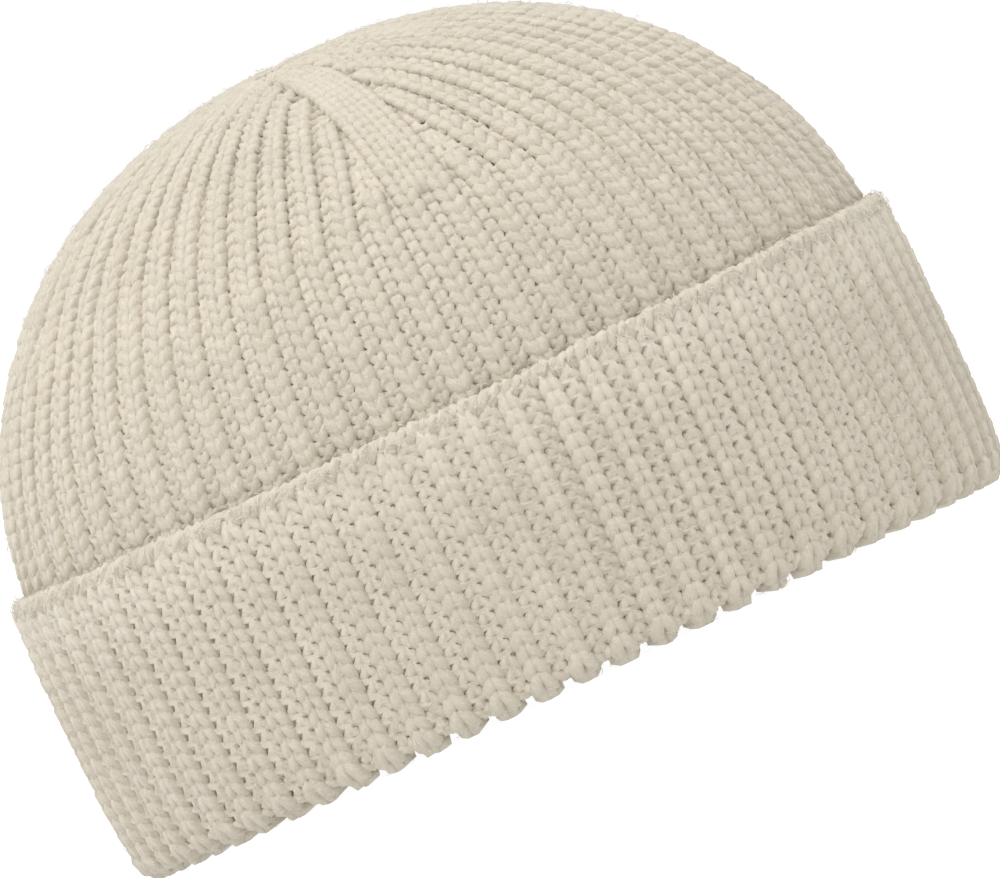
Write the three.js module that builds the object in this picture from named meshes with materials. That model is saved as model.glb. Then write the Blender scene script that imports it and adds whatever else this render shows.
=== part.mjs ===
// A fisherman beanie: a short knit cap in a chunky one-by-one rib. The domed crown narrows in four gores, with a band
// of plain stitches between each two, and the edge is turned up as a deep cuff.
// Millimetres, +Z up. The origin is on the surface that the cap rests on, under the middle of the brim. The cap's
// length runs along X, from front to back, and its width along Y.
import * as THREE from "three";

// Driving dimensions.
const cuffLength = 210.5; // outside of the cuff over the ribs, front to back
const cuffWidth = 190; // the same, side to side
const cuffHeight = 68.5; // floor to the cuff's free edge, at the front and the back
const cuffDip = 1.2; // how much lower the free edge hangs at the sides
const capHeight = 148; // floor to the top of the crown
const springHeight = 60.5; // where the crown's straight wall turns into its dome
const wallThickness = 4; // one layer of knitting, over the ribs
const layerGap = 0.3; // between the crown and the cuff
const ribDepth = 1.5; // crest to groove
const scallopRise = 1.4; // how far the grooves' lower ends stay above the floor
const domeSide = 2.24; // exponents of the dome's outline, a superellipse: 2 and 2 would make it an ellipse
const domeTop = 1.96;
const gatherLength = -4.5; // where the ribs meet, measured from the middle of the cap along X and along Y
const gatherWidth = -14;
const gatherDimple = 0.8; // how deep the drawn-up stitches sink there

// Ribs, counted in units of one crest and one groove.
const gores = 4;
const goreRibs = 14; // in each gore, where it is widest
const plainBand = 2; // units in the band of plain stitches between two gores
const goreUnits = goreRibs + plainBand;
const ribShift = -0.004; // turns the cuff's ribs, as a share of one turn
const dartShift = 0.031; // turns the crown so that one plain band lies a little right of the near side's middle
const plainGroove = 0.3; // groove between plain stitches, as a share of a rib's groove
const ribEnd = 0.1; // a column ends this many units before it would reach the plain band

// Where a layer stands in from the cuff's outside. up is a share of the crown's straight wall, and inset one of the
// wall's thickness: the brim draws both layers in a little towards the fold.
const wallRows = [
  { up: 0, inset: 0.45 },
  { up: 0.35, inset: 0.08 },
  { up: 1, inset: 0 },
];

// The cuff's outside from the fold to the free edge. up is a share of the cuff's height, inset one of the wall's
// thickness, and rib one of the rib's depth.
const cuffRows = [
  { up: 0, inset: 1.55, rib: 0.5 },
  { up: 0.034, inset: 0.95, rib: 0.9 },
  { up: 0.1, inset: 0.44, rib: 1 },
  { up: 0.33, inset: 0.09, rib: 1 },
  { up: 0.88, inset: 0.06, rib: 1 },
  { up: 0.95, inset: 0.34, rib: 0.7 },
  { up: 1, inset: 0.75, rib: 0.3 },
];

// The foot under the fold: how far in its flat sole and its inner corner reach, as shares of the wall's thickness.
const soleInset = 2.2;
const footInset = 2 + wallRows[0].inset;
const heelHeight = 0.5;

// The dome from its spring to the gather. rise is in degrees up the outline, gore gives the units left in each gore,
// and plain says how far the band's grooves have closed, from 0 to 1.
const domeRows = [
  { rise: 13, gore: 14, plain: 0 },
  { rise: 25, gore: 14, plain: 0 },
  { rise: 34, gore: 14, plain: 0.6 },
  { rise: 43, gore: 12.9, plain: 1 },
  { rise: 52, gore: 12, plain: 1 },
  { rise: 60.5, gore: 10.9, plain: 1 },
  { rise: 68.5, gore: 9.3, plain: 1 },
  { rise: 75.5, gore: 6.8, plain: 1 },
  { rise: 82, gore: 4.6, plain: 1 },
];

// Columns of points in one unit. at is the share of the unit, and groove is 1 in a groove and 0 on a crest.
const ribColumns = [
  { slot: 0, at: 0, groove: 1 },
  { slot: 1, at: 0.28, groove: 0 },
  { slot: 2, at: 0.72, groove: 0 },
];
// Inside, a groove shows where the outside has a crest.
const insideColumns = [
  { slot: 0, at: 0, groove: 0 },
  { slot: 1, at: 0.5, groove: 1 },
];
const smoothColumns = [{ slot: 0, at: 0, groove: 0 }];
const slotsPerUnit = ribColumns.length;

const creamYarn = new THREE.MeshStandardMaterial({ color: 0xdcd5c4, roughness: 0.95, metalness: 0 });
const foldedYarn = new THREE.MeshStandardMaterial({ color: 0xd6cebb, roughness: 0.95, metalness: 0 });

const halfLength = cuffLength / 2;
const halfWidth = cuffWidth / 2;
const crownInset = wallThickness + layerGap;
const domeLength = halfLength - crownInset;
const domeWidth = halfWidth - crownInset;
const hemHeight = wallThickness + layerGap;

// The columns of one ring of points, once round. The first half and the last half of a gore's columns end at the
// plain bands beside it when the gore holds fewer units than it has ribs.
function ringColumns(columns, gore, plain) {
  const list = [];
  const bandHalf = plainBand / 2 / (gore + plainBand);
  for (let quarter = 0; quarter < gores; quarter++) {
    for (let unit = 0; unit < goreUnits; unit++) {
      for (const { slot, at, groove } of columns) {
        const key = (quarter * goreUnits + unit) * slotsPerUnit + slot;
        const along = unit + at;
        const fromMiddle = along - goreUnits / 2;
        const inBand = along < plainBand / 2 || along > goreUnits - plainBand / 2;
        const onEdge = along === plainBand / 2 || along === goreUnits - plainBand / 2;
        let place = 0.5 + fromMiddle * (1 - 2 * bandHalf) / gore;
        if (inBand || onEdge) {
          const fromDart = along < goreUnits / 2 ? along : along - goreUnits;
          place = (fromDart * bandHalf * 2) / plainBand + (fromDart < 0 ? 1 : 0);
        } else if (Math.abs(fromMiddle) > gore / 2 - ribEnd) {
          continue;
        }
        const depth = inBand ? groove * (1 - plain * (1 - plainGroove)) : groove;
        list.push({ key, share: (quarter + place) / gores, groove: depth });
      }
    }
  }
  return list;
}

// A point on an oval. share runs once round from the middle of the side along -Y towards +X, even along the edge.
function onOval(length, width, share) {
  const even = 2 * Math.PI * share;
  const lean = (length ** 2 - width ** 2) / (4 * (length ** 2 + width ** 2));
  const turn = even - lean * Math.sin(2 * even);
  return new THREE.Vector2(length * Math.sin(turn), -width * Math.cos(turn));
}

// A point on a layer's upright wall, inset from the cuff's outside and pushed out by out.
function onWall(height, inset, share, out) {
  const flat = onOval(halfLength - inset + out, halfWidth - inset + out, share);
  return new THREE.Vector3(flat.x, flat.y, height);
}

// A point of the crown's dome, pushed out along the dome's normal. Rings near the top slide towards the gather.
function onDome(rise, share, out) {
  const spread = Math.cos(THREE.MathUtils.degToRad(rise)) ** (2 / domeSide);
  const slide = (1 - spread) ** 2;
  const flat = onOval(domeLength * spread, domeWidth * spread, share);
  flat.x += gatherLength * slide;
  flat.y += gatherWidth * slide;
  const reach = Math.hypot(flat.x / domeLength, flat.y / domeWidth);
  const lift = (1 - reach ** domeSide) ** (1 / domeTop);
  const domeHeight = capHeight - springHeight;
  const steep = domeSide * reach ** (domeSide - 2);
  const normal = new THREE.Vector3(
    (steep * flat.x) / domeLength ** 2,
    (steep * flat.y) / domeWidth ** 2,
    (domeTop * lift ** (domeTop - 1)) / domeHeight,
  ).normalize();
  return new THREE.Vector3(flat.x, flat.y, springHeight + domeHeight * lift).addScaledVector(normal, out);
}

// A closed skin, built ring by ring.
class Skin {
  constructor() {
    this.points = [];
    this.faces = [];
  }

  ring(columns, place) {
    const first = this.points.length;
    for (const column of columns) this.points.push(place(column));
    return { first, keys: columns.map((column) => column.key) };
  }

  // Joins a ring to one with the same columns or fewer. A column that ends is drawn to the next one kept, away from
  // the middle of its gore. inwards turns the faces round.
  join(many, few, inwards) {
    const target = many.keys.map((key) => this.kept(key, few.keys));
    const count = many.keys.length;
    for (let i = 0; i < count; i++) {
      const next = (i + 1) % count;
      const a = many.first + i;
      const b = many.first + next;
      const c = few.first + target[next];
      const d = few.first + target[i];
      this.face(a, b, c, inwards);
      if (c !== d) this.face(a, c, d, inwards);
    }
  }

  kept(key, keys) {
    const exact = keys.indexOf(key);
    if (exact >= 0) return exact;
    const goreSlots = goreUnits * slotsPerUnit;
    const lastHalf = key % goreSlots >= goreSlots / 2;
    const above = keys.findIndex((other) => other > key);
    if (lastHalf) return above < 0 ? 0 : above;
    return (above < 0 ? keys.length : above) - 1;
  }

  // Closes a ring to one point.
  close(ring, point, inwards) {
    const tip = this.points.push(point) - 1;
    const count = ring.keys.length;
    for (let i = 0; i < count; i++) this.face(ring.first + i, ring.first + ((i + 1) % count), tip, inwards);
  }

  face(a, b, c, inwards) {
    this.faces.push(...(inwards ? [a, c, b] : [a, b, c]));
  }

  mesh(name, material) {
    const geometry = new THREE.BufferGeometry().setFromPoints(this.points);
    geometry.setIndex(this.faces);
    geometry.computeVertexNormals();
    const made = new THREE.Mesh(geometry, material);
    made.name = name;
    return made;
  }
}

// One side of the crown: rings from the hem to the gather. depthIn is how far the side lies behind the rib crests.
function crownSide(skin, columns, depthIn, inwards) {
  const towards = inwards ? -1 : 1;
  const offset = (groove) => -depthIn - towards * groove * ribDepth;
  const wallColumns = ringColumns(columns, goreRibs, 0);
  const rings = wallRows.map(({ up, inset }) =>
    skin.ring(wallColumns, ({ share, groove }) => {
      const height = hemHeight + up * (springHeight - hemHeight);
      const away = crownInset + inset * wallThickness;
      return onWall(height, away, share + dartShift, offset(groove));
    }),
  );
  for (const { rise, gore, plain } of domeRows) {
    const dome = ringColumns(columns, gore, plain);
    rings.push(skin.ring(dome, ({ share, groove }) => onDome(rise, share + dartShift, offset(groove))));
  }
  for (let i = 1; i < rings.length; i++) skin.join(rings[i - 1], rings[i], inwards);
  skin.close(rings[rings.length - 1], onDome(90, 0, -depthIn - (inwards ? 0 : gatherDimple)), inwards);
  return rings[0];
}

// The crown: the whole cap in one layer, from the hem inside the fold up to the gather.
function makeCrown() {
  const skin = new Skin();
  const outerHem = crownSide(skin, ribColumns, 0, false);
  const innerHem = crownSide(skin, insideColumns, wallThickness, true);
  skin.join(outerHem, innerHem, true);
  return skin.mesh("crown", creamYarn);
}

// The cuff: the layer turned up outside, with the fold as a foot under the crown's hem.
function makeCuff() {
  const skin = new Skin();
  const ribs = ringColumns(ribColumns, goreRibs, 0);
  const smooth = ringColumns(smoothColumns, goreRibs, 0);
  const edgeHeight = (share) => cuffHeight - cuffDip * Math.cos(2 * Math.PI * share) ** 2;

  const outside = cuffRows.map(({ up, inset, rib }, row) =>
    skin.ring(ribs, ({ share, groove }) => {
      const at = share + ribShift;
      const scallop = row === 0 ? groove * scallopRise : 0;
      const height = up * edgeHeight(at) + scallop;
      return onWall(height, inset * wallThickness, at, -groove * rib * ribDepth);
    }),
  );
  const inEdge = skin.ring(smooth, ({ share }) => {
    const at = share + ribShift;
    return onWall(edgeHeight(at), wallThickness, at, 0);
  });
  const inside = wallRows.map(({ up, inset }) =>
    skin.ring(smooth, ({ share }) => {
      const height = wallThickness + up * (springHeight - wallThickness);
      return onWall(height, (1 + inset) * wallThickness, share + ribShift, 0);
    }),
  );
  const footTop = skin.ring(smooth, ({ share }) =>
    onWall(wallThickness, footInset * wallThickness + layerGap, share + ribShift, 0),
  );
  const heel = skin.ring(ribs, ({ share, groove }) => {
    const inset = footInset * wallThickness + layerGap - groove * ribDepth;
    return onWall(heelHeight * wallThickness, inset, share + ribShift, 0);
  });
  const sole = skin.ring(ribs, ({ share, groove }) =>
    onWall(groove * scallopRise, soleInset * wallThickness, share + ribShift, 0),
  );

  for (let i = 1; i < outside.length; i++) skin.join(outside[i - 1], outside[i], false);
  skin.join(outside[outside.length - 1], inEdge, false);
  skin.join(inside[inside.length - 1], inEdge, true);
  for (let i = 1; i < inside.length; i++) skin.join(inside[i - 1], inside[i], true);
  skin.join(footTop, inside[0], true);
  skin.join(heel, footTop, true);
  skin.join(sole, heel, true);
  skin.join(outside[0], sole, true);
  return skin.mesh("cuff", foldedYarn);
}

const beanie = new THREE.Group();
beanie.add(makeCrown(), makeCuff());

export default beanie;
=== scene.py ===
# %% [markdown]
# A fisherman beanie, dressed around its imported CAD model.
# On the real cap one yarn is knitted into some nine thousand loops, in a rib of one knit and one purl
# column. The knitting starts at the cuff's free edge, runs down the cuff, round the fold and up the crown
# to the gather. It could be painted as bumps on the CAD skin, but then the loops would cast no shadows and
# the grooves would stay shallow. Here every loop is yarn with a thickness, laid along one guide surface
# that repeats the CAD's own shape.

import math

import bpy
import numpy as np
from mathutils import Matrix, Vector


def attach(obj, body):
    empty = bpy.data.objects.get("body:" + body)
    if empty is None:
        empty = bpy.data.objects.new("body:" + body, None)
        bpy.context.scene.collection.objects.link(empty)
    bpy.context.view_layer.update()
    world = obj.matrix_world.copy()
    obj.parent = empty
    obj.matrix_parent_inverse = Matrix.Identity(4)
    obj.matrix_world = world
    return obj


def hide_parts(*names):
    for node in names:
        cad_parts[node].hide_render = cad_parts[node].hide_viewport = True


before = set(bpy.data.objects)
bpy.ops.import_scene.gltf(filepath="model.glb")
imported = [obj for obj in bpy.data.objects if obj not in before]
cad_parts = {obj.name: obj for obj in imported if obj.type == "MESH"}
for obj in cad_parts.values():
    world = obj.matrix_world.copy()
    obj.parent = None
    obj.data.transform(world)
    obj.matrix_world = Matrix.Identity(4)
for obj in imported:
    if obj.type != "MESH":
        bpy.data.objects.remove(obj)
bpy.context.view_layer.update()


def in_mm(values):
    return [round(1000 * v, 1) for v in values]


# %% [markdown]
# The photograph looks at the cap from its side, level with the brim, and the cap is turned by 25.5 degrees
# in the picture. Turning the cap would lift it off the floor, so the camera rolls instead. It stands far
# away with a long lens, because the far ribs are as large as the near ones, and looks down by half a
# degree, so that it stays above the floor.

# %% Camera
picture_roll = math.radians(25.5)
camera_height_angle = math.radians(0.5)
camera_distance = 8.0
picture_width = 0.2165
aim = Vector((0.0070, 0.0, 0.0543))

camera_data = bpy.data.cameras.new("photo_camera")
camera_data.sensor_width = 36.0
camera_data.lens = camera_data.sensor_width * camera_distance / picture_width
camera_data.clip_start = 0.1
camera_data.clip_end = 1000.0
camera = bpy.data.objects.new("photo_camera", camera_data)
bpy.context.scene.collection.objects.link(camera)
forward = Vector((0.0, math.cos(camera_height_angle), -math.sin(camera_height_angle)))
level_up = Vector((0.0, math.sin(camera_height_angle), math.cos(camera_height_angle)))
level_right = Vector((1.0, 0.0, 0.0))
right = math.cos(picture_roll) * level_right - math.sin(picture_roll) * level_up
up = math.sin(picture_roll) * level_right + math.cos(picture_roll) * level_up
turn = Matrix((right, up, -forward)).transposed()
camera.matrix_world = Matrix.Translation(aim - camera_distance * forward) @ turn.to_4x4()
bpy.context.scene.camera = camera
print("lens in mm:", round(camera_data.lens))

# %% [markdown]
# The photograph is a cut-out on white, in flat light with a little more from above. Small lamps would draw
# hard shadows between the loops, so a bright even world does most of it, and two wide suns give the loops
# their shape. The floor glows, as a light table does, so that it stays white right up to the brim.


# %% Floor
def start_material(name, roughness, specular=0.5):
    """A new material with its tree and its main shader."""
    material = bpy.data.materials.new(name)
    material.use_nodes = True
    shader = material.node_tree.nodes["Principled BSDF"]
    shader.inputs["Roughness"].default_value = roughness
    shader.inputs["Specular IOR Level"].default_value = specular
    return material, material.node_tree, shader


floor_reach, floor_grey, floor_glow = 300.0, 0.14, 0.95
floor_material, _, floor_shader = start_material("studio_white", 0.9)
floor_shader.inputs["Base Color"].default_value = (floor_grey, floor_grey, floor_grey, 1.0)
floor_shader.inputs["Emission Color"].default_value = (1.0, 1.0, 1.0, 1.0)
floor_shader.inputs["Emission Strength"].default_value = floor_glow
floor_mesh = bpy.data.meshes.new("studio_floor")
floor_corners = [(x * floor_reach, y * floor_reach, 0) for x, y in ((-1, -1), (1, -1), (1, 1), (-1, 1))]
floor_mesh.from_pydata(floor_corners, [], [(0, 1, 2, 3)])
floor_mesh.materials.append(floor_material)
floor = bpy.data.objects.new("studio_floor", floor_mesh)
bpy.context.scene.collection.objects.link(floor)
print("floor in m:", 2 * floor_reach, "across")

# %% World and suns
world = bpy.data.worlds.new("studio_world")
world.use_nodes = True
world.node_tree.nodes["Background"].inputs["Color"].default_value = (1.0, 1.0, 1.0, 1.0)
world.node_tree.nodes["Background"].inputs["Strength"].default_value = 1.0
bpy.context.scene.world = world
bpy.context.scene.view_settings.view_transform = "Standard"


def add_sun(name, towards, strength, angle):
    light = bpy.data.lights.new(name, "SUN")
    light.energy = strength
    light.angle = math.radians(angle)
    lamp = bpy.data.objects.new(name, light)
    lamp.rotation_euler = Vector(towards).to_track_quat("-Z", "Y").to_euler()
    bpy.context.scene.collection.objects.link(lamp)
    print(name, "strength:", strength)


add_sun("key_sun", (0.2, 0.3, -1.0), 1.82, 60)
add_sun("front_sun", (0.05, 1.0, -0.3), 0.25, 60)

# %% [markdown]
# One guide carries every loop: the middle of the knitted layer, from the cuff's free edge down to the fold,
# round it and up the crown. The loops could also be dropped onto the CAD skin, but its facets would show in
# them, so the guide repeats the CAD's ovals and dome with the same named sizes, in millimetres. A place on
# it is a share of one turn and a length along the knitting.

# %% The guide's sizes
cuff_length, cuff_width, cuff_height, cuff_dip = 210.5, 190.0, 68.5, 1.2
cap_height, spring_height = 148.0, 60.5
wall_thickness, crown_inset = 4.0, 4.3
dome_side, dome_top = 2.24, 1.96
gather_length, gather_width = -4.5, -14.0
crown_turn, cuff_turn = 0.031, 0.03506
half_length, half_width = cuff_length / 2, cuff_width / 2
dome_length, dome_width = half_length - crown_inset, half_width - crown_inset
layer_half = wall_thickness / 2 + 0.3
print("cuff in mm:", cuff_length, "x", cuff_width, "layer's middle at", layer_half)


# %% Ovals and dome
def on_oval(length, width, share):
    even = 2 * np.pi * share
    lean = (length**2 - width**2) / (4 * (length**2 + width**2))
    turned = even - lean * np.sin(2 * even)
    return length * np.sin(turned), -width * np.cos(turned)


def on_dome(rise, share, inset):
    spread = np.maximum(np.cos(np.radians(rise)), 0.0) ** (2 / dome_side)
    slide = (1 - spread) ** 2
    x, y = on_oval(dome_length * spread, dome_width * spread, share)
    x, y = x + gather_length * slide, y + gather_width * slide
    reach = np.maximum(np.hypot(x / dome_length, y / dome_width), 1e-6)
    lift = np.maximum(1 - reach**dome_side, 0.0) ** (1 / dome_top)
    height = cap_height - spring_height
    steep = dome_side * reach ** (dome_side - 2)
    level = dome_top * lift ** (dome_top - 1) / height
    normal = np.stack([steep * x / dome_length**2, steep * y / dome_width**2, level], -1)
    normal /= np.linalg.norm(normal, axis=-1, keepdims=True)
    return np.stack([x, y, spring_height + height * lift], -1) - inset * normal


def smooth_step(x):
    x = np.clip(x, 0, 1)
    return x * x * (3 - 2 * x)


print("dome's top in mm:", on_dome(90.0, 0.0, 0.0).round(1))

# %% [markdown]
# Below the dome the guide is a profile that follows the oval: a list of insets from the cuff's outline and
# heights. The cuff draws in at its free edge and above the fold, where the real one is tight, and the fold
# is a half circle.

# %% The guide's profile, from the free edge round the fold to the dome
wall_steps, fold_steps = 240, 40
fold_radius, fold_inset = 2.12, 6.0
fold_height = fold_radius + 3.0
edge_drop, layers_apart = 1.3, 0.1
cuff_levels = [0.06, 0.1, 0.2, 0.33, 0.88, 0.95, 1.0]
cuff_insets = [1.85, 1.5, 0.7, 0.36, 0.24, 0.6, 1.8]
crown_levels, crown_draw = [0, 0.35, 1], [0.45, 0.08, 0]

profile = []
for up_by in np.linspace(1, 0, wall_steps):
    height = fold_height + up_by * (cuff_height - edge_drop - fold_height)
    drawn = np.interp(height / cuff_height, cuff_levels, cuff_insets)
    profile.append((drawn + layer_half - layers_apart, height))
for turned in np.linspace(0, math.pi, fold_steps)[1:-1]:
    profile.append((fold_inset - fold_radius * math.cos(turned), fold_height - fold_radius * math.sin(turned)))
for up_by in np.linspace(0, 1, wall_steps):
    height = fold_height + up_by * (spring_height - fold_height)
    drawn = np.interp(up_by, crown_levels, crown_draw) * wall_thickness
    profile.append((crown_inset + drawn + layer_half - layers_apart * (1 - up_by), height))
profile = np.array(profile)
steps = np.hypot(*np.diff(profile, axis=0).T)
profile_length = np.concatenate([[0], np.cumsum(steps)])
cuff_end = profile_length[wall_steps - 1]
fold_end = profile_length[wall_steps + fold_steps - 1]
fold_middle = (cuff_end + fold_end) / 2
spring_at = profile_length[-1]
for part, end in (("cuff", cuff_end), ("fold", fold_end), ("wall", spring_at)):
    print("guide's", part, "ends in mm:", round(end, 1))

# %% Lengths up the dome
girth_points = 48
rises = np.concatenate([np.linspace(0, 80, 161), np.linspace(80, 90, 61)[1:]])
ring_shares = np.linspace(0, 1, girth_points, endpoint=False)
rings = np.stack([on_dome(np.full(girth_points, rise), ring_shares, layer_half) for rise in rises])
dome_steps = np.linalg.norm(np.diff(rings, axis=0), axis=-1).mean(1)
dome_length_up = np.concatenate([[0], np.cumsum(dome_steps)])
apex_at = spring_at + dome_length_up[-1]
print("gather in mm:", round(apex_at, 1))


def on_guide(share, along):
    share, along = np.broadcast_arrays(share, along)
    towards_dome = smooth_step((along - fold_end) / (spring_at - fold_end))
    turned = share + cuff_turn + (crown_turn - cuff_turn) * towards_dome
    inset = np.interp(along, profile_length, profile[:, 0])
    height = np.interp(along, profile_length, profile[:, 1])
    edge = 1 - cuff_dip / cuff_height * np.cos(2 * np.pi * turned) ** 2
    height = np.where(along < cuff_end, fold_height + (height - fold_height) * edge, height)
    x, y = on_oval(half_length - inset, half_width - inset, turned)
    wall = np.stack([x, y, height], -1)
    rise = np.interp(along - spring_at, dome_length_up, rises)
    dome = on_dome(rise, turned, layer_half)
    return np.where((along < spring_at)[..., None], wall, dome)


def guide_frame(share, along):
    """Places on the guide with the vectors across, upwards and outwards there."""
    small, step = 2e-4, 0.4
    across = (on_guide(share + small, along) - on_guide(share - small, along)) / (2 * small)
    upwards = (on_guide(share, along + step) - on_guide(share, along - step)) / (2 * step)
    out = np.cross(across, upwards)
    return on_guide(share, along), across, upwards, out / np.linalg.norm(out, axis=1, keepdims=True)


# %% [markdown]
# Round the cuff there are 64 ribs, so 128 columns of loops: every second one is knit and stands out, the
# others are purl and sink in. All columns could run on to the gather, but there they would be too thin for
# any yarn. Up the dome each of four gores loses columns to the band of plain stitches beside it, as the
# real cap and the CAD's rings do.

# %% Columns of loops in one course
gores, gore_ribs, plain_band = 4, 14, 2
gore_units = gore_ribs + plain_band
gore_rise = [0, 34, 43, 52, 60.5, 68.5, 75.5, 82, 86, 90]
gore_left = [14, 14, 12.9, 12, 10.9, 9.3, 6.8, 4.6, 3.2, 2.0]
plain_from, column_margin = 36.0, 0.22


def gore_at(along):
    """The dome's rise, the ribs that a gore has left there, and half the band's share of a quarter."""
    rise = np.interp(along - spring_at, dome_length_up, rises) if along > spring_at else 0.0
    gore = np.interp(rise, gore_rise, gore_left)
    return rise, gore, plain_band / 2 / (gore + plain_band)


def course_columns(along):
    """The share and side of each column in a course: 1 is knit and -1 purl, seen from the crown's outside."""
    rise, gore, band_half = gore_at(along)
    shares, sides = [], []
    for quarter in range(gores):
        for column in range(2 * gore_units):
            unit = column / 2
            from_middle = unit - gore_units / 2
            side = 1 if column % 2 else -1
            if unit <= plain_band / 2 or unit >= gore_units - plain_band / 2:
                from_dart = unit if unit < gore_units / 2 else unit - gore_units
                place = from_dart * band_half * 2 / plain_band + (1 if from_dart < 0 else 0)
                if unit == 0 and rise > plain_from:
                    side = 1
            elif abs(from_middle) > gore / 2 - column_margin:
                continue
            else:
                place = 0.5 + from_middle * (1 - 2 * band_half) / gore
            shares.append((quarter + place) / gores)
            sides.append(side)
    order = np.argsort(shares)
    return np.array(shares)[order], np.array(sides)[order]


for place_name, along in (("the fold", cuff_end), ("the gather", apex_at - 5)):
    print("columns at", place_name + ":", len(course_columns(along)[0]))

# %% [markdown]
# A course is one yarn that waves up and down once in each column. Copies of one loop object would leave
# seams, and would not fit the columns that narrow. So the wave follows a simple rule: it rises by a cosine,
# and leans by a sine of twice the turn, so that each loop is wide at its head and narrow at its neck. The
# rise follows the guide, so that the loops bend round the fold, and is laid out here with the frame of each
# place. Geometry Nodes add the lean and the depth, so those sizes stay named inputs. Columns that are
# crowded near the gather get calmer loops and deeper furrows, as knitting that is drawn together has.

# %% Sizes of a course
course_height, first_course = 3.36, 5.6
yarn_thickness, sunk_thinness = 3.18, 0.92
loop_reach, points_per_loop = 0.86, 10
face_turns_at = fold_end + 1.5 * course_height
usual_pitch, most_crowded = 4.85, 0.6
narrowing, crowd_widening, fold_widening, fold_reach = 0.14, 1.3, 0.28, 5.5
crowd_furrow, fold_furrow = 1.1, 0.8
edge_furrow, edge_reach = 0.45, 11
crowd_calm, crowd_thinness, fold_swell = 1.05, 0.02, 0.12
uneven_height, uneven_place, uneven_swell = 0.05, 0.06, 0.05
girth_steps = 96
steady = np.random.default_rng(7)
print("course in mm:", course_height, "yarn:", yarn_thickness, "faces turn at:", round(face_turns_at, 1))


# %% Crowding and nearness to the fold
def crowding(pitch):
    """How much narrower than usual a column is."""
    return np.clip(1 - pitch / usual_pitch, 0, most_crowded)


def nearness_to_fold(along, reach):
    return math.exp(-(((along - fold_middle) / reach) ** 2))


# %% Turns round a course
def course_turns(along, near_fold, face_here, points):
    """For each point of a course: share, turn, its column's side, its seam's side and its column's width."""
    shares, sides = course_columns(along)
    before, after = np.roll(shares, 1), np.roll(shares, -1)
    before[0] -= 1
    after[-1] += 1
    sides_before, sides_after = np.roll(sides, 1), np.roll(sides, -1)
    round_course = on_guide(np.linspace(0, 1, girth_steps + 1), along)
    girth = np.linalg.norm(np.diff(round_course, axis=0), axis=1).sum()
    squeeze = crowding(girth / len(shares))
    narrow = (narrowing - crowd_widening * squeeze - fold_widening * near_fold) * face_here
    half_before = (shares - before) / 2 * (1 + narrow * (sides_before - sides) / 2)
    half_after = (after - shares) / 2 * (1 + narrow * (sides_after - sides) / 2)
    turns = -np.pi + 2 * np.pi * np.arange(points) / points
    half = np.where(turns < 0, half_before[:, None], half_after[:, None])
    share = (shares[:, None] + half * turns / np.pi).ravel()
    side = np.repeat(sides, points).astype(float)
    neighbour = np.where(turns < 0, sides_before[:, None], sides_after[:, None]).ravel()
    width = np.repeat(half_before + half_after, points)
    return share, np.tile(turns, len(shares)), side, (side + neighbour) / 2, width


print("guide points round the fold:", len(course_turns(cuff_end, 1.0, -1.0, points_per_loop)[0]))


# %% Guide points for a course
def guide_course(along, points):
    """The points of one closed course and their attributes, in millimetres."""
    face_here = -1.0 if along < face_turns_at else 1.0
    near_fold = nearness_to_fold(along, fold_reach)
    share, turn_at, side, seam, width = course_turns(along, near_fold, face_here, points)
    place, across, upwards, out = guide_frame(share, along + loop_reach * course_height * np.cos(turn_at))
    across = across * width[:, None]
    crowd = crowding(np.linalg.norm(across, axis=1))
    from_edge = edge_furrow + (1 - edge_furrow) * smooth_step((along - first_course) / edge_reach)
    furrow = (1 + crowd_furrow * crowd) * (1 + fold_furrow * near_fold) * from_edge
    wobble = np.repeat(steady.normal(0, 1, (len(share) // points, 3)), points, 0)
    lift = upwards * (course_height * (1 + uneven_height * wobble[:, :1]))
    place = place + uneven_place * lift * wobble[:, 1:2]
    swollen = 1 - crowd_thinness * crowd + fold_swell * near_fold
    plump = np.where(side * face_here < 0, sunk_thinness, swollen) * (1 + uneven_swell * wobble[:, 2])
    return place, {
        "across": across,
        "outside": out,
        "turn": turn_at,
        "side": side,
        "seam": seam,
        "furrow": furrow,
        "calm": 1 - crowd_calm * crowd,
        "plump": plump,
        "face": np.full(len(share), face_here),
    }


# %% Closed guide rings as a mesh
def rings_to_mesh(name, places, rings):
    """Closed polylines with attributes, from places in millimetres and a dictionary of fields for each."""
    edges, first = [], 0
    for place in places:
        ring = np.arange(len(place))
        edges.append(np.stack([first + ring, first + np.roll(ring, -1)], 1))
        first += len(place)
    mesh = bpy.data.meshes.new(name)
    mesh.from_pydata(np.concatenate(places) / 1000, np.concatenate(edges), [])
    for key in rings[0]:
        values = np.concatenate([fields[key] for fields in rings])
        if key in ("across", "upwards"):
            values = values / 1000
        kind, slot_name = ("FLOAT_VECTOR", "vector") if values.ndim == 2 else ("FLOAT", "value")
        layer = mesh.attributes.new(key, kind, "POINT")
        layer.data.foreach_set(slot_name, values.ravel().astype(np.float32))
    obj = bpy.data.objects.new(name, mesh)
    bpy.context.scene.collection.objects.link(obj)
    return obj


# %% [markdown]
# The trees read those attributes, push the courses into loops and sweep the yarn along them. A curve with a
# bevel would sweep it too, but would lose the attributes. The sweep also stores how far round and along the
# yarn each point is, so that the material can twist its plies along it, and how high above the guide.


# %% Short helpers for node trees
def add_input(tree, name, kind, value=None):
    socket = tree.interface.new_socket(name=name, in_out="INPUT", socket_type=kind)
    if value is not None:
        socket.default_value = value


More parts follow.
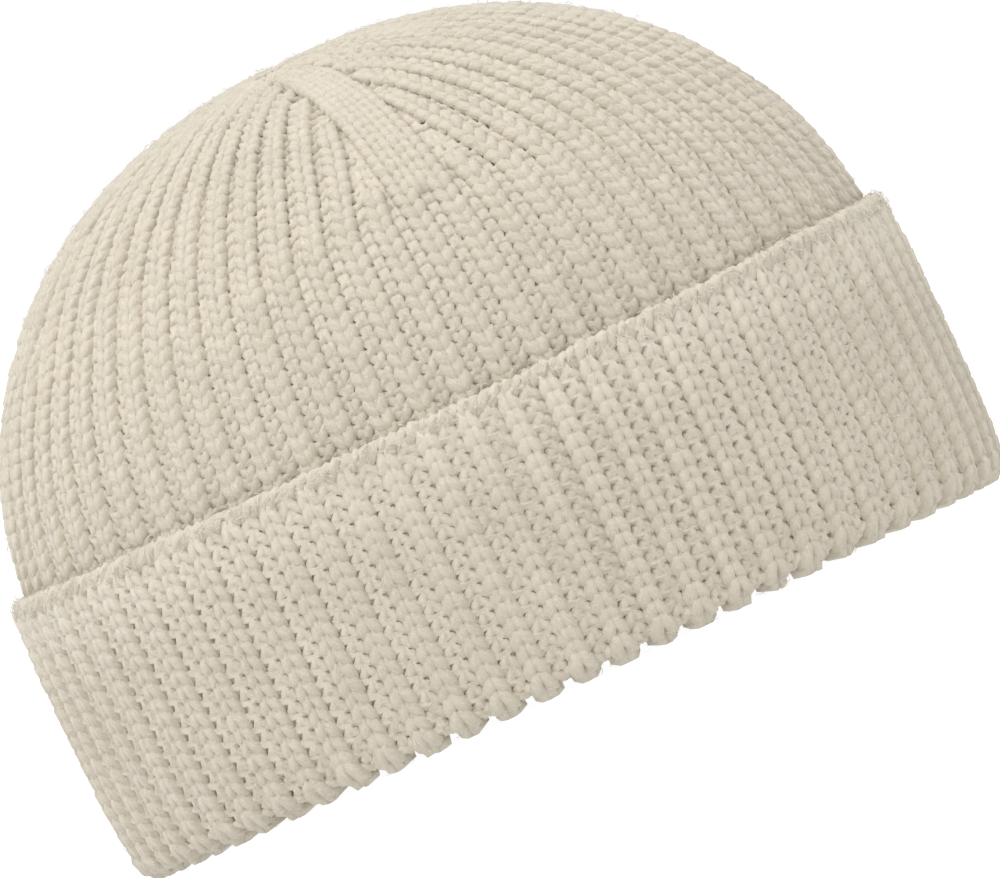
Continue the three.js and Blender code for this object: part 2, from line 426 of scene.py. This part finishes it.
def math_step(tree, operation, first, second=None, third=None):
    node = tree.nodes.new("ShaderNodeMath")
    node.operation = operation
    for slot_number, value in enumerate((first, second, third)):
        if value is None:
            continue
        if isinstance(value, (int, float)):
            node.inputs[slot_number].default_value = value
        else:
            tree.links.new(value, node.inputs[slot_number])
    return node.outputs[0]


def vector_step(tree, operation, first, second):
    node = tree.nodes.new("ShaderNodeVectorMath")
    node.operation = operation
    tree.links.new(first, node.inputs[0])
    tree.links.new(second, node.inputs["Scale"] if operation == "SCALE" else node.inputs[1])
    return node.outputs["Value" if operation == "DOT_PRODUCT" else "Vector"]


def read_attribute(tree, name, kind="FLOAT"):
    node = tree.nodes.new("GeometryNodeInputNamedAttribute")
    node.data_type = kind
    node.inputs["Name"].default_value = name
    return node.outputs["Attribute"]


def store_attribute(tree, geometry, name, value, kind="FLOAT"):
    node = tree.nodes.new("GeometryNodeStoreNamedAttribute")
    node.data_type, node.domain = kind, "POINT"
    node.inputs["Name"].default_value = name
    tree.links.new(geometry, node.inputs["Geometry"])
    tree.links.new(value, node.inputs["Value"])
    return node.outputs[0]


def read_position(tree):
    return tree.nodes.new("GeometryNodeInputPosition").outputs[0]


def scaled_sum(tree, parts):
    """The sum of named vector attributes, each times its value."""
    total = None
    for name, value in parts:
        part = vector_step(tree, "SCALE", read_attribute(tree, name, "FLOAT_VECTOR"), value)
        total = part if total is None else vector_step(tree, "ADD", total, part)
    return total


def dress_result(tree, geometry, material, result):
    """Realizes the geometry and gives it its material, which ends every tree here."""
    real = tree.nodes.new("GeometryNodeRealizeInstances")
    tree.links.new(geometry, real.inputs["Geometry"])
    finish = tree.nodes.new("GeometryNodeSetMaterial")
    tree.links.new(real.outputs[0], finish.inputs["Geometry"])
    tree.links.new(material, finish.inputs["Material"])
    tree.links.new(finish.outputs[0], result.inputs[0])


# %% The yarn's outline
def yarn_outline(tree, given):
    """The yarn's round outline, which stores the direction of each of its points."""
    ring = tree.nodes.new("GeometryNodeCurvePrimitiveCircle")
    tree.links.new(given["Yarn sides"], ring.inputs["Resolution"])
    tree.links.new(math_step(tree, "MULTIPLY", given["Yarn thickness"], 0.5), ring.inputs["Radius"])
    share_round = tree.nodes.new("GeometryNodeSplineParameter").outputs["Factor"]
    angle = math_step(tree, "MULTIPLY", share_round, 2 * math.pi)
    facing = tree.nodes.new("ShaderNodeCombineXYZ")
    tree.links.new(math_step(tree, "COSINE", angle), facing.inputs["X"])
    tree.links.new(math_step(tree, "SINE", angle), facing.inputs["Y"])
    return store_attribute(tree, ring.outputs["Curve"], "yarn_around", facing.outputs[0], "FLOAT_VECTOR")


# %% Sweeping the yarn
def sweep_yarn(tree, given, offset, thick):
    """Moves the guide points by an offset and sweeps the yarn along them."""
    home = store_attribute(tree, given["Courses"], "home", read_position(tree), "FLOAT_VECTOR")
    moved = tree.nodes.new("GeometryNodeSetPosition")
    tree.links.new(home, moved.inputs["Geometry"])
    tree.links.new(offset, moved.inputs["Offset"])
    curve = tree.nodes.new("GeometryNodeMeshToCurve")
    tree.links.new(moved.outputs[0], curve.inputs["Mesh"])
    run = tree.nodes.new("GeometryNodeSplineParameter").outputs["Length"]
    path = store_attribute(tree, curve.outputs[0], "yarn_along", run)

    sweep = tree.nodes.new("GeometryNodeCurveToMesh")
    tree.links.new(path, sweep.inputs["Curve"])
    tree.links.new(yarn_outline(tree, given), sweep.inputs["Profile Curve"])
    tree.links.new(thick, sweep.inputs["Scale"])
    smooth = tree.nodes.new("GeometryNodeSetShadeSmooth")
    tree.links.new(sweep.outputs[0], smooth.inputs["Geometry"])
    away = vector_step(tree, "SUBTRACT", read_position(tree), read_attribute(tree, "home", "FLOAT_VECTOR"))
    along_out = vector_step(tree, "DOT_PRODUCT", away, read_attribute(tree, "outside", "FLOAT_VECTOR"))
    height = math_step(tree, "MULTIPLY", along_out, read_attribute(tree, "face"))
    return store_attribute(tree, smooth.outputs[0], "yarn_height", height)


# %% Named inputs of a tree with yarn
def start_yarn_tree(name, sizes):
    """A new tree with the yarn's inputs, the guide first, and with some more named sizes."""
    tree = bpy.data.node_groups.new(name, "GeometryNodeTree")
    add_input(tree, "Courses", "NodeSocketGeometry")
    add_input(tree, "Yarn thickness", "NodeSocketFloat", yarn_thickness / 1000)
    add_input(tree, "Yarn sides", "NodeSocketInt", 5)
    add_input(tree, "Material", "NodeSocketMaterial")
    for size_name, value in sizes.items():
        add_input(tree, size_name, "NodeSocketFloat", value)
    tree.interface.new_socket(name="Knitting", in_out="OUTPUT", socket_type="NodeSocketGeometry")
    return tree, tree.nodes.new("NodeGroupInput").outputs, tree.nodes.new("NodeGroupOutput")


# %% Sizes of a loop
seam_sharpness, seam_rise = 4.0, 0.6
loop_sizes = {
    "Raised lean": 0.26,
    "Sunk lean": 0.38,
    "Rib relief": 0.00062,
    "Loop depth": 0.00055,
    "Raised tilt": 0.0004,
    "Sunk tilt": 0.0009,
    "Leg swell": 0.12,
}
print("rib relief in mm:", 1000 * loop_sizes["Rib relief"])


# %% The tree that bends a course into loops
def make_knit_tree():
    tree, given, result = start_yarn_tree("knit_courses", loop_sizes)

    def times(first, second):
        return math_step(tree, "MULTIPLY", first, second)

    turn_at, side, seam = (read_attribute(tree, name) for name in ("turn", "side", "seam"))
    furrow, calm, face = (read_attribute(tree, name) for name in ("furrow", "calm", "face"))
    raised = math_step(tree, "MULTIPLY_ADD", times(side, face), 0.5, 0.5)

    def by_side(name):
        span = math_step(tree, "SUBTRACT", given["Raised " + name], given["Sunk " + name])
        return math_step(tree, "MULTIPLY_ADD", raised, span, given["Sunk " + name])

    twice = math_step(tree, "COSINE", times(turn_at, 2.0))
    once = math_step(tree, "COSINE", turn_at)
    sway = math_step(tree, "SINE", times(turn_at, 2.0))
    sideways = times(times(sway, by_side("lean")), calm)

    share_out = math_step(tree, "ABSOLUTE", math_step(tree, "DIVIDE", turn_at, math.pi))
    near_seam = math_step(tree, "POWER", share_out, seam_sharpness)
    on_column = times(side, math_step(tree, "SUBTRACT", 1.0, near_seam))
    on_seam = times(times(seam, seam_rise), near_seam)
    rib = times(times(given["Rib relief"], furrow), math_step(tree, "ADD", on_column, on_seam))
    leg = math_step(tree, "MULTIPLY_ADD", once, by_side("tilt"), times(twice, given["Loop depth"]))
    depth = math_step(tree, "SUBTRACT", rib, times(times(leg, calm), face))
    offset = scaled_sum(tree, [("across", sideways), ("outside", depth)])

    swell = math_step(tree, "SUBTRACT", 1.0, times(times(twice, given["Leg swell"]), calm))
    thick = times(read_attribute(tree, "plump"), swell)
    dress_result(tree, sweep_yarn(tree, given, offset, thick), given["Material"], result)
    return tree


knit_tree = make_knit_tree()
print("knit tree:", len(knit_tree.nodes), "nodes")

# %% From a modifier to a plain mesh
working_attributes = ("home", "across", "upwards", "turn", "side", "seam", "furrow", "calm", "plump", "face")


def set_inputs(modifier, **values):
    """Sets a modifier's inputs by socket identifier, from names with underscores for spaces."""
    for item in modifier.node_group.interface.items_tree:
        key = item.name.replace(" ", "_")
        if item.item_type == "SOCKET" and item.in_out == "INPUT" and key in values:
            modifier[item.identifier] = values[key]


def grow(obj, tree, **values):
    """Runs a tree on an object and leaves the result as a plain mesh, with no modifier left."""
    modifier = obj.modifiers.new(tree.name, "NODES")
    modifier.node_group = tree
    set_inputs(modifier, **values)
    graph = bpy.context.evaluated_depsgraph_get()
    grown = obj.evaluated_get(graph)
    mesh = bpy.data.meshes.new_from_object(grown, preserve_all_data_layers=True, depsgraph=graph)
    obj.modifiers.clear()
    obj.data = mesh
    mesh.name = obj.name
    for name in working_attributes:
        if name in mesh.attributes:
            mesh.attributes.remove(mesh.attributes[name])
    mesh.calc_loop_triangles()
    print(obj.name, "triangles:", len(mesh.loop_triangles))


# %% [markdown]
# The yarn is a soft cream blend of several plies. One flat colour would look like plastic. Here the colour
# varies between clouds, wisps and fibres, brighter curled hairs lie on top, the plies twist along the yarn
# as fine ridges, and the shader's sheen catches light at the edges as fuzz does. The twist reads the yarn's
# own attributes, so that it follows every loop. Below the crests the creases are painted a little brighter
# than the yarn. That is painted light, which takes back the shade falling in them, as the fuzz that fills them
# does on the real cap. The gaps in the middle of the knitting are painted darker, and that is painted shade.


# %% Helpers for the yarn's material
def add_mix(tree, factor, first, second):
    node = tree.nodes.new("ShaderNodeMix")
    node.data_type = "RGBA"
    tree.links.new(factor, node.inputs["Factor"])
    for socket, color in (("A", first), ("B", second)):
        if isinstance(color, tuple):
            node.inputs[socket].default_value = (*color, 1.0)
        else:
            tree.links.new(color, node.inputs[socket])
    return node.outputs["Result"]


def add_noise(tree, vector, scale, detail, roughness=0.65):
    node = tree.nodes.new("ShaderNodeTexNoise")
    node.inputs["Scale"].default_value = scale
    node.inputs["Detail"].default_value = detail
    node.inputs["Roughness"].default_value = roughness
    tree.links.new(vector, node.inputs["Vector"])
    return node.outputs["Fac"]


def add_range(tree, value, low, high):
    node = tree.nodes.new("ShaderNodeMapRange")
    node.interpolation_type = "SMOOTHSTEP"
    node.inputs["From Min"].default_value = low
    node.inputs["From Max"].default_value = high
    tree.links.new(value, node.inputs["Value"])
    return node.outputs["Result"]


def read_yarn(tree, name, output):
    node = tree.nodes.new("ShaderNodeAttribute")
    node.attribute_name = name
    return node.outputs[output]


def object_coordinates(tree):
    return tree.nodes.new("ShaderNodeTexCoord").outputs["Object"]


# %% Coordinates that follow the yarn
ply_twist, wisp_twist, ply_count = 0.0045, 0.014, 3.0
strand_stretch = 170.0


def follow_yarn(tree):
    """The twisting plies, and coordinates that wind slowly along the yarn."""
    along = read_yarn(tree, "yarn_along", "Fac")
    facing = tree.nodes.new("ShaderNodeSeparateXYZ")
    tree.links.new(read_yarn(tree, "yarn_around", "Vector"), facing.inputs[0])
    angle = math_step(tree, "ARCTAN2", facing.outputs["Y"], facing.outputs["X"])
    twist = math_step(tree, "MULTIPLY_ADD", along, 2 * math.pi / ply_twist, angle)
    plies = math_step(tree, "SINE", math_step(tree, "MULTIPLY", twist, ply_count))
    slow_turn = math_step(tree, "MULTIPLY_ADD", along, 2 * math.pi / wisp_twist, angle)
    strand = tree.nodes.new("ShaderNodeCombineXYZ")
    tree.links.new(math_step(tree, "COSINE", slow_turn), strand.inputs["X"])
    tree.links.new(math_step(tree, "SINE", slow_turn), strand.inputs["Y"])
    tree.links.new(math_step(tree, "MULTIPLY", along, strand_stretch), strand.inputs["Z"])
    return plies, strand.outputs[0]


# %% Sizes and colours of the yarn's finish
fibre_scale, cloud_scale, patch_scale = 1900.0, 70.0, 430.0
wisp_scale, curl_scale, curl_width = 3.6, 5.0, 0.045
patch_range, blend_range = (0.45, 0.6), (0.3, 0.7)
fibre_part, cloud_part, wisp_part, curl_part = 0.35, 0.25, 0.4, 0.75
ply_relief, fibre_relief, wisp_relief, curl_relief = 0.25, 1.2, 1.0, 0.7
bump_strength, bump_distance = 0.5, 0.00025
# The heights below set where painted shade darkens the gaps and where painted light lifts the creases.
deep_at, surface_at, ragged_by = -0.0001, 0.0006, 0.0006
crest_at, crease_at = 0.0017, 0.0009
fluff_from, fluff_to = 0.040, 0.062
# The deep colour is painted shade for the gaps between the loops.
gap_shade_color = (0.32, 0.275, 0.195)
# The crease colour is painted light for the creases, lighter than the yarn itself.
wisp_color, crease_light_color = (0.74, 0.69, 0.59), (0.61, 0.557, 0.462)
print("fluff on the cuff in mm:", in_mm((fluff_from, fluff_to)))


# %% Yarn material
def yarn_material(name, light_color, dark_color, crease_light_share, fluff_share=0.0):
    material, tree, shader = start_material(name, 0.95, specular=0.1)
    shader.inputs["Sheen Weight"].default_value = 0.3
    shader.inputs["Sheen Roughness"].default_value = 0.6
    shader.inputs["Sheen Tint"].default_value = (1.0, 0.97, 0.9, 1.0)

    # Clouds, fibres and wisps between the dark and the light colour, with bright curled hairs in patches.
    plies, strand = follow_yarn(tree)
    coordinates = object_coordinates(tree)
    wisps = add_noise(tree, strand, wisp_scale, 3.0)
    fibres = add_noise(tree, coordinates, fibre_scale, 3.0)
    clouds = add_noise(tree, coordinates, cloud_scale, 2.0)
    patches = add_range(tree, add_noise(tree, coordinates, patch_scale, 1.0), *patch_range)
    mixed = math_step(tree, "MULTIPLY", clouds, cloud_part)
    mixed = math_step(tree, "MULTIPLY_ADD", fibres, fibre_part, mixed)
    mixed = math_step(tree, "MULTIPLY_ADD", wisps, wisp_part, mixed)
    surface = add_mix(tree, add_range(tree, mixed, *blend_range), dark_color, light_color)
    curl = add_noise(tree, strand, curl_scale, 1.0)
    from_line = math_step(tree, "ABSOLUTE", math_step(tree, "SUBTRACT", curl, 0.5))
    curls = math_step(tree, "MULTIPLY", add_range(tree, from_line, curl_width, 0.0), patches)
    surface = add_mix(tree, math_step(tree, "MULTIPLY", curls, curl_part), surface, wisp_color)

    # Brushed fluff towards the cuff's free edge.
    place_on_cap = tree.nodes.new("ShaderNodeSeparateXYZ")
    tree.links.new(coordinates, place_on_cap.inputs[0])
    fluff = add_range(tree, place_on_cap.outputs["Z"], fluff_from, fluff_to)
    surface = add_mix(tree, math_step(tree, "MULTIPLY", fluff, fluff_share), surface, wisp_color)

    # Painted light in the creases and painted shade in the gaps, by the height above the middle of the
    # knitting on either face.
    from_middle = math_step(tree, "ABSOLUTE", read_yarn(tree, "yarn_height", "Fac"))
    # Painted light: the creases turn towards the lighter crease colour.
    crease = add_range(tree, from_middle, crest_at, crease_at)
    surface = add_mix(tree, math_step(tree, "MULTIPLY", crease, crease_light_share), surface, crease_light_color)
    # Painted shade: yarn that lies deep in the gaps turns towards the dark colour.
    ragged = math_step(tree, "MULTIPLY_ADD", fibres, ragged_by, from_middle)
    out_of_gap_shade = add_range(tree, ragged, deep_at, surface_at)
    tree.links.new(add_mix(tree, out_of_gap_shade, gap_shade_color, surface), shader.inputs["Base Color"])

    relief = math_step(tree, "MULTIPLY", fibres, fibre_relief)
    relief = math_step(tree, "MULTIPLY_ADD", plies, ply_relief, relief)
    relief = math_step(tree, "MULTIPLY_ADD", wisps, wisp_relief, relief)
    relief = math_step(tree, "MULTIPLY_ADD", curls, curl_relief, relief)
    bump = tree.nodes.new("ShaderNodeBump")
    bump.inputs["Strength"].default_value = bump_strength
    bump.inputs["Distance"].default_value = bump_distance
    tree.links.new(relief, bump.inputs["Height"])
    tree.links.new(bump.outputs["Normal"], shader.inputs["Normal"])
    return material


# %% The yarns of crown, cuff and edge
# The fourth number of each is the share of painted light in the creases.
crown_yarn = yarn_material("crown_yarn", (0.57, 0.52, 0.429), (0.456, 0.41, 0.33), 0.65)
cuff_yarn = yarn_material("cuff_yarn", (0.572, 0.522, 0.43), (0.46, 0.414, 0.332), 0.85, fluff_share=0.28)
edge_yarn = yarn_material("edge_yarn", (0.575, 0.525, 0.435), (0.46, 0.415, 0.335), 0.45)
print("yarn material:", len(crown_yarn.node_tree.nodes), "nodes")

# %% [markdown]
# The cuff, the fold and the crown are the same knitting, so they are laid out in one count of courses from
# the free edge to the gather. One mesh would be simplest, but too heavy, so the count is cut into pieces of
# at most twelve courses where the knitting shows. The part of the crown under the cuff is only seen from
# inside the cap, so its yarn has four sides and fewer points, and it stays in one piece.

# %% The count of courses
under_cuff, gather_hole = 6, 2.8
courses = []
along = first_course
while along < apex_at - gather_hole:
    courses.append(along)
    along += course_height
visible_crown = fold_end + (cuff_height - under_cuff - fold_height)
cuff_courses = [along for along in courses if along < fold_end]
hidden_courses = [along for along in courses if fold_end <= along < visible_crown]
crown_courses = [along for along in courses if along >= visible_crown]
print("courses: cuff", len(cuff_courses), "hidden", len(hidden_courses), "crown", len(crown_courses))

# %% Knitting the pieces
knitted = []


def knit_piece(name, courses, node, material, sides=5, points=points_per_loop):
    made = [guide_course(along, points) for along in courses]
    obj = rings_to_mesh(name, [place for place, fields in made], [fields for place, fields in made])
    grow(obj, knit_tree, Yarn_sides=sides, Material=material)
    knitted.append((obj, node))


cuff_half = len(cuff_courses) // 2
knit_piece("cuff_knit_upper", cuff_courses[:cuff_half], "cuff", cuff_yarn)
knit_piece("cuff_knit_lower", cuff_courses[cuff_half:], "cuff", cuff_yarn)
knit_piece("crown_knit_hidden", hidden_courses, "crown", crown_yarn, sides=4, points=7)
for number, start in enumerate(range(0, len(crown_courses), 12)):
    knit_piece(f"crown_knit_{number + 1}", crown_courses[start : start + 12], "crown", crown_yarn)

# %% [markdown]
# The free edge ends in the cast-on: two soft strands that wind round each other, without holes, a little
# brighter and fuzzier than the loops. A swollen last course would do from afar, but its bars would not
# slant. The same sweep as above follows two guide rings whose yarn turns round their middle twice in each
# rib, a little unevenly, and a third, thinner ring fills the gap behind them.

# %% Sizes of the rolled edge
roll_at, roll_thickness, roll_twists, roll_points = 2.5, 3.3, 128, 6
rib_swell, strand_swell = 0.15, 0.1
height_ripple, turn_ripples = (0.1, 11), ((0.5, 17), (0.4, 29))
backing_inset, backing_drop, backing_plump = 1.5, 0.6, 0.8
full_turn = 2 * np.pi
print("edge strands:", roll_thickness, "mm thick,", roll_twists, "turns round the cuff")


# %% The tree of the rolled edge
def make_roll_tree():
    tree, given, result = start_yarn_tree("edge_roll", {"Roll depth": 0.00035, "Roll height": 0.0014})
    winding = read_attribute(tree, "turn")
    outwards = math_step(tree, "MULTIPLY", math_step(tree, "COSINE", winding), given["Roll depth"])
    rising = math_step(tree, "MULTIPLY", math_step(tree, "SINE", winding), given["Roll height"])
    offset = scaled_sum(tree, [("outside", outwards), ("upwards", rising)])
    plump = read_attribute(tree, "plump")
    dress_result(tree, sweep_yarn(tree, given, offset, plump), given["Material"], result)
    return tree


# %% The roll along the cuff's free edge
def ripple(share, size, count):
    return size * np.sin(full_turn * count * share)


def roll_guide(name):
    count = roll_twists * roll_points
    share = np.arange(count) / count
    places, rings = [], []
    for strand in range(2):
        place, across, upwards, out = guide_frame(share, roll_at)
        over_rib = rib_swell * np.cos(full_turn * gores * gore_units * share)
        tall = 1 + over_rib + ripple(share, *height_ripple)
        uneven = sum(ripple(share, *size_and_count) for size_and_count in turn_ripples)
        swelling = np.resize(steady.normal(0, 1, roll_twists), roll_twists + 1)
        twist = share * roll_twists % roll_twists
        places.append(place)
        rings.append({
            "outside": out,
            "upwards": upwards / np.linalg.norm(upwards, axis=1, keepdims=True) * 1000 * tall[:, None],
            "turn": full_turn * roll_twists * share + np.pi * strand + uneven,
            "face": np.full(count, -1.0),
            "plump": 1 + strand_swell * np.interp(twist, np.arange(roll_twists + 1), swelling),
        })
    count //= 2
    place, across, upwards, out = guide_frame(np.arange(count) / count, roll_at - backing_drop)
    places.append(place + backing_inset * out)
    rings.append({
        "outside": out,
        "upwards": upwards,
        "turn": np.full(count, -np.pi / 2),
        "face": np.full(count, -1.0),
        "plump": np.full(count, backing_plump),
    })
    return rings_to_mesh(name, places, rings)


roll = roll_guide("cuff_edge_roll")
grow(roll, make_roll_tree(), Yarn_thickness=roll_thickness / 1000, Material=edge_yarn)
knitted.append((roll, "cuff"))

# %% [markdown]
# Fine fibres stand off the yarn everywhere and soften every edge. A particle system would be the usual way,
# but the model keeps only meshes, so Geometry Nodes scatter short bent fibres on the yarn's outer faces.
# Each is a thin spindle of twelve triangles, closed at both tips.

# %% Sizes of the fibres
fibre_sizes = {"Fibre length": 0.0026, "Fibre width": 0.00013, "Fibre bow": 0.0012}
edge_fibre_sizes = {"Fibre_length": 0.0034, "Fibre_width": 0.00016, "Fibre_bow": 0.0018}
fibres_per_area, plain_density, edge_density = 62000.0, 0.62, 6.5
lowest_height, first_seed = 0.0010, 11
fibre_lean, smallest_fibre, largest_fibre = 0.5, (0.5, 0.8, 0.4), (1.4, 1.2, 1.6)
print("fibre's length, width and bow in mm:", [round(1000 * v, 2) for v in fibre_sizes.values()])


# %% One fibre
def bent_fibre(tree, given):
    """A short bent spindle along X, as thin as nothing at its ends."""
    bend = tree.nodes.new("GeometryNodeCurveQuadraticBezier")
    bend.inputs["Resolution"].default_value = 2
    for socket, sign in (("Start", -0.5), ("End", 0.5)):
        end_point = tree.nodes.new("ShaderNodeCombineXYZ")
        tree.links.new(math_step(tree, "MULTIPLY", given["Fibre length"], sign), end_point.inputs["X"])
        tree.links.new(end_point.outputs[0], bend.inputs[socket])
    middle = tree.nodes.new("ShaderNodeCombineXYZ")
    tree.links.new(given["Fibre bow"], middle.inputs["Z"])
    tree.links.new(middle.outputs[0], bend.inputs["Middle"])
    ring = tree.nodes.new("GeometryNodeCurvePrimitiveCircle")
    ring.inputs["Resolution"].default_value = 3
    tree.links.new(math_step(tree, "MULTIPLY", given["Fibre width"], 0.5), ring.inputs["Radius"])
    run = tree.nodes.new("GeometryNodeSplineParameter").outputs["Factor"]
    sweep = tree.nodes.new("GeometryNodeCurveToMesh")
    tree.links.new(bend.outputs[0], sweep.inputs["Curve"])
    tree.links.new(ring.outputs["Curve"], sweep.inputs["Profile Curve"])
    tree.links.new(math_step(tree, "SINE", math_step(tree, "MULTIPLY", run, math.pi)), sweep.inputs["Scale"])
    closed = tree.nodes.new("GeometryNodeMergeByDistance")
    closed.inputs["Distance"].default_value = 1e-6
    tree.links.new(sweep.outputs[0], closed.inputs["Geometry"])
    return closed.outputs[0]


# %% Scattering the fibres
def random_vector(tree, seed, low, high):
    node = tree.nodes.new("FunctionNodeRandomValue")
    node.data_type = "FLOAT_VECTOR"
    node.inputs["Min"].default_value = low
    node.inputs["Max"].default_value = high
    tree.links.new(seed, node.inputs["Seed"])
    return node.outputs["Value"]


def make_fibre_tree():
    tree = bpy.data.node_groups.new("loose_fibres", "GeometryNodeTree")
    add_input(tree, "Yarn", "NodeSocketGeometry")
    add_input(tree, "Fibres per area", "NodeSocketFloat", fibres_per_area)
    for name, value in fibre_sizes.items():
        add_input(tree, name, "NodeSocketFloat", value)
    add_input(tree, "Lowest height", "NodeSocketFloat", lowest_height)
    add_input(tree, "Seed", "NodeSocketInt", first_seed)
    add_input(tree, "Material", "NodeSocketMaterial")
    tree.interface.new_socket(name="Fibres", in_out="OUTPUT", socket_type="NodeSocketGeometry")
    given = tree.nodes.new("NodeGroupInput").outputs
    result = tree.nodes.new("NodeGroupOutput")

    scatter = tree.nodes.new("GeometryNodeDistributePointsOnFaces")
    tree.links.new(given["Yarn"], scatter.inputs["Mesh"])
    high = math_step(tree, "GREATER_THAN", read_attribute(tree, "yarn_height"), given["Lowest height"])
    tree.links.new(high, scatter.inputs["Selection"])
    tree.links.new(given["Fibres per area"], scatter.inputs["Density"])
    tree.links.new(given["Seed"], scatter.inputs["Seed"])
    lie = random_vector(tree, given["Seed"], (0.0, -fibre_lean, 0.0), (0.0, fibre_lean, 2 * math.pi))
    spin = tree.nodes.new("FunctionNodeEulerToRotation")
    tree.links.new(lie, spin.inputs[0])
    aim_fibre = tree.nodes.new("FunctionNodeRotateRotation")
    aim_fibre.rotation_space = "LOCAL"
    tree.links.new(scatter.outputs["Rotation"], aim_fibre.inputs[0])
    tree.links.new(spin.outputs[0], aim_fibre.inputs[1])
    size = random_vector(tree, given["Seed"], smallest_fibre, largest_fibre)
    place = tree.nodes.new("GeometryNodeInstanceOnPoints")
    tree.links.new(scatter.outputs["Points"], place.inputs["Points"])
    tree.links.new(bent_fibre(tree, given), place.inputs["Instance"])
    tree.links.new(aim_fibre.outputs[0], place.inputs["Rotation"])
    tree.links.new(size, place.inputs["Scale"])
    dress_result(tree, place.outputs[0], given["Material"], result)
    return tree


# %% The fibres' material
def fibre_material():
    material, tree, shader = start_material("yarn_fibre", 0.9, specular=0.2)
    clumps = add_noise(tree, object_coordinates(tree), 400.0, 1.0)
    tree.links.new(add_mix(tree, clumps, (0.59, 0.54, 0.45), (0.80, 0.755, 0.66)), shader.inputs["Base Color"])
    return material


# %% Loose fibres on every piece that shows
fibre_tree = make_fibre_tree()
loose_fibre = fibre_material()
fuzzy = [(yarn, node) for yarn, node in knitted if "hidden" not in yarn.name]
for number, (yarn, node) in enumerate(fuzzy):
    fuzz_name = yarn.name.replace("knit", "fuzz").replace("roll", "fuzz")
    fuzz = bpy.data.objects.new(fuzz_name, yarn.data.copy())
    bpy.context.scene.collection.objects.link(fuzz)
    on_edge = "edge" in yarn.name
    density = fibres_per_area * (edge_density if on_edge else plain_density)
    sizes = edge_fibre_sizes if on_edge else {}
    grow(fuzz, fibre_tree, Fibres_per_area=density, Seed=first_seed + number, Material=loose_fibre, **sizes)
    knitted.append((fuzz, node))

# %% [markdown]
# Between the loops of the real cap the fuzz closes most of the gaps, so little light comes through. Thicker
# yarn would close them too, but swallow the loops. So a thin closed skin in the middle of the knitting
# stands for the fuzz, one in the cuff and one in the crown, and its dark colour is painted shade, the shade
# that falls into the gaps. It sinks where the furrows are deep near the gather, bulges a little under the
# plain bands and draws back from the fold's lobes, so that it never shows in front of the yarn.

# %% Where the skin lies
core_half, core_spacing, core_columns = 0.45, 5.5, 80
sink_by, sink_from, sink_over = 0.6, 10, 45
band_bulge, band_edge = 0.4, 0.04
fold_draw, fold_draw_reach = 0.9, 9.0
cuff_core_start, core_overlap, gather_gap = 3.0, 1.0, 2.0
core_shares = np.arange(core_columns) / core_columns


def core_ring(along, towards):
    """One ring of the skin, on the side of the guide that towards says."""
    rise, gore, band_half = gore_at(along)
    from_dart = np.abs((core_shares * gores + 0.5) % 1 - 0.5)
    in_band = smooth_step((band_half - from_dart) / band_edge) * (rise > plain_from)
    sunk = sink_by * smooth_step((along - spring_at - sink_from) / sink_over) * (1 - in_band)
    sunk = sunk - band_bulge * in_band - fold_draw * nearness_to_fold(along, fold_draw_reach)
    place, across, upwards, out = guide_frame(core_shares, along)
    return place + (towards - sunk)[:, None] * out


# %% A thin closed skin
def core_skin(name, start, end, node, material, closed_top=False):
    rows = np.linspace(start, end, round((end - start) / core_spacing) + 1)
    rings = [core_ring(along, towards) for towards in (core_half, -core_half) for along in rows]
    points = list(np.concatenate(rings))
    inner, top = len(rows) * core_columns, (len(rows) - 1) * core_columns
    faces = []
    for column in range(core_columns):
        after = (column + 1) % core_columns
        for lower in range(0, top, core_columns):
            upper = lower + core_columns
            face = (lower + column, lower + after, upper + after, upper + column)
            faces.append(face)
            faces.append(tuple(inner + corner for corner in face[::-1]))
        faces.append((column, inner + column, inner + after, after))
        if not closed_top:
            faces.append((top + column, top + after, inner + top + after, inner + top + column))
    if closed_top:
        for first, flip in ((top, False), (inner + top, True)):
            tip = len(points)
            points.append(np.mean(points[first : first + core_columns], axis=0))
            for column in range(core_columns):
                face = (first + column, first + (column + 1) % core_columns, tip)
                faces.append(face[::-1] if flip else face)
    mesh = bpy.data.meshes.new(name)
    mesh.from_pydata(np.array(points) / 1000, [], faces)
    mesh.polygons.foreach_set("use_smooth", [True] * len(mesh.polygons))
    mesh.materials.append(material)
    obj = bpy.data.objects.new(name, mesh)
    bpy.context.scene.collection.objects.link(obj)
    knitted.append((obj, node))
    mesh.calc_loop_triangles()
    print(name, "triangles:", len(mesh.loop_triangles))


# %% The fuzz between the loops, coloured with painted shade
def core_shade_material():
    material, tree, shader = start_material("yarn_shade", 1.0, specular=0.0)
    grain = add_noise(tree, object_coordinates(tree), 900.0, 2.0, roughness=0.5)
    # The skin's dark beige is painted shade for the inside of the gaps.
    tree.links.new(add_mix(tree, grain, (0.40, 0.34, 0.23), (0.56, 0.49, 0.36)), shader.inputs["Base Color"])
    return material


# The two skins carry the painted shade between the loops.
shade = core_shade_material()
core_skin("cuff_core", cuff_core_start, fold_end, "cuff", shade)
core_skin("crown_core", fold_end - core_overlap, apex_at - gather_gap, "crown", shade, closed_top=True)

# %% [markdown]
# Each piece rides on the cap's one body and stands for the CAD node whose place it takes, the crown or the
# cuff. The pieces could be joined into one mesh, but kept apart they stay light enough to open and print
# one by one.

# %% Ride the pieces and finish
for obj, node in knitted:
    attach(obj, "root")
    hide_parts(node)
